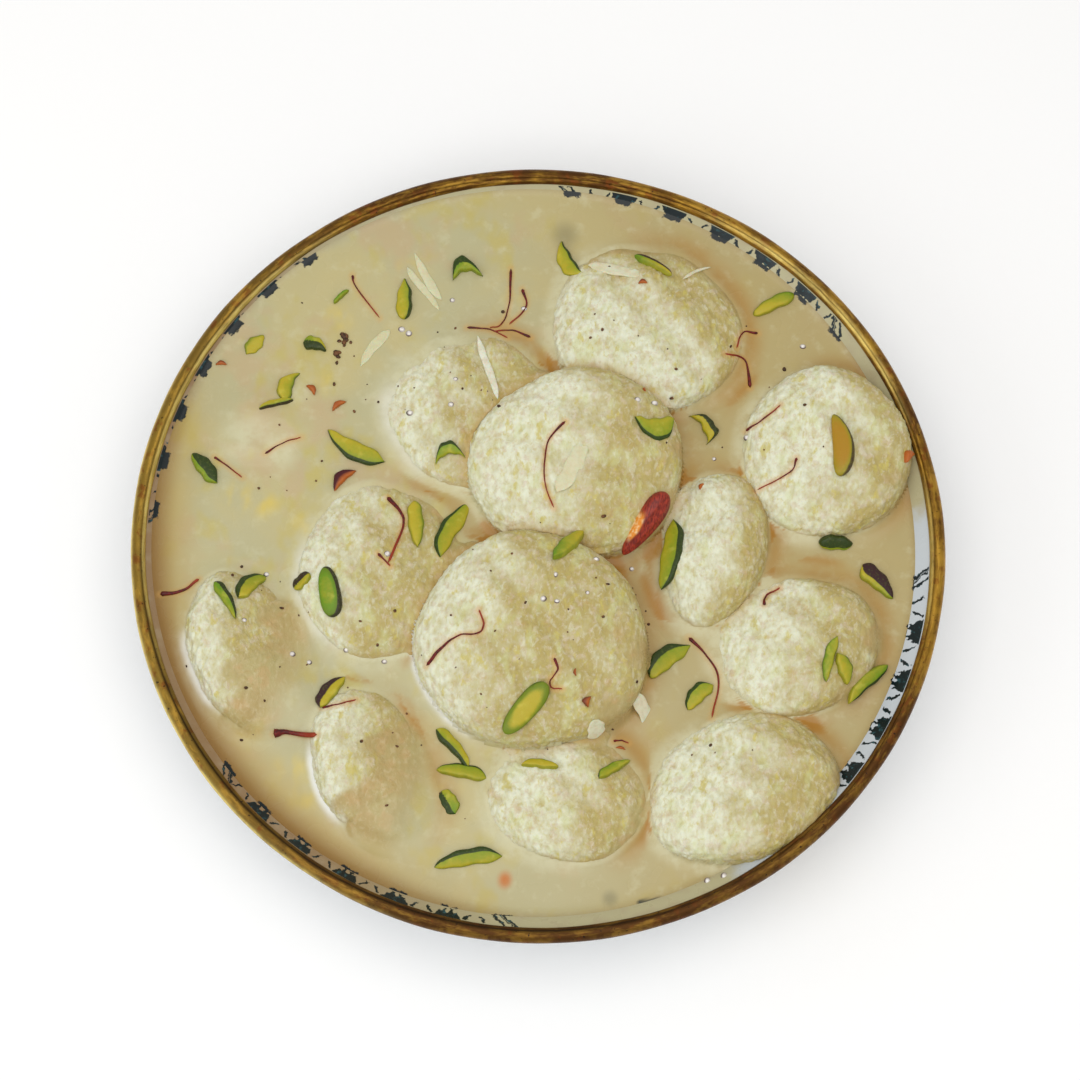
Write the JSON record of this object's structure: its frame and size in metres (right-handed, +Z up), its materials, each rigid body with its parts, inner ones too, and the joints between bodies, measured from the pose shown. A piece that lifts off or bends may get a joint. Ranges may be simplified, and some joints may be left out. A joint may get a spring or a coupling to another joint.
{
  "type": "rasmalai in a shallow bowl",
  "caption": "Soft discs of fresh cheese in saffron milk, strewn with pistachio, almond and saffron threads, served in a shallow glazed bowl with a brass-bound lip.",
  "frame": {"origin": "on the table under the middle of the bowl's foot ring", "axes": "+Z up; +Y away from the viewer of the reference picture, +X to the viewer's right"},
  "size_m": [0.21, 0.21, 0.0399],
  "materials": {
    "glaze": "glossy white ceramic glaze with a dark teal painted border",
    "brass": "worn, part-polished brass",
    "saffron_milk": "wet, opaque pale yellow milk",
    "fresh_cheese": "moist, finely curdled off-white",
    "almond": "dark red-brown skin, orange flesh at one side",
    "pistachio": "yellow-green flesh with dark green and purple-brown skin",
    "saffron": "dark red dried thread",
    "almond_flake": "translucent blanched flake",
    "cardamom": "dull dark brown specks"
  },
  "bodies": {
    "root": {"bowl": "glaze", "brass_band": "brass", "milk": "saffron_milk", "disc_front_centre": "fresh_cheese", "disc_middle": "fresh_cheese", "disc_right": "fresh_cheese", "disc_right_of_middle": "fresh_cheese", "disc_back": "fresh_cheese", "disc_left_of_middle": "fresh_cheese", "disc_left_centre": "fresh_cheese", "disc_front": "fresh_cheese", "disc_right_low": "fresh_cheese", "disc_front_right": "fresh_cheese", "disc_left": "fresh_cheese", "disc_front_left": "fresh_cheese", "disc_sunk": "fresh_cheese", "almond": "almond", "pistachio_front": "pistachio", "pistachio_left": "pistachio", "pistachio_right": "pistachio"}
  },
  "joints": []
}
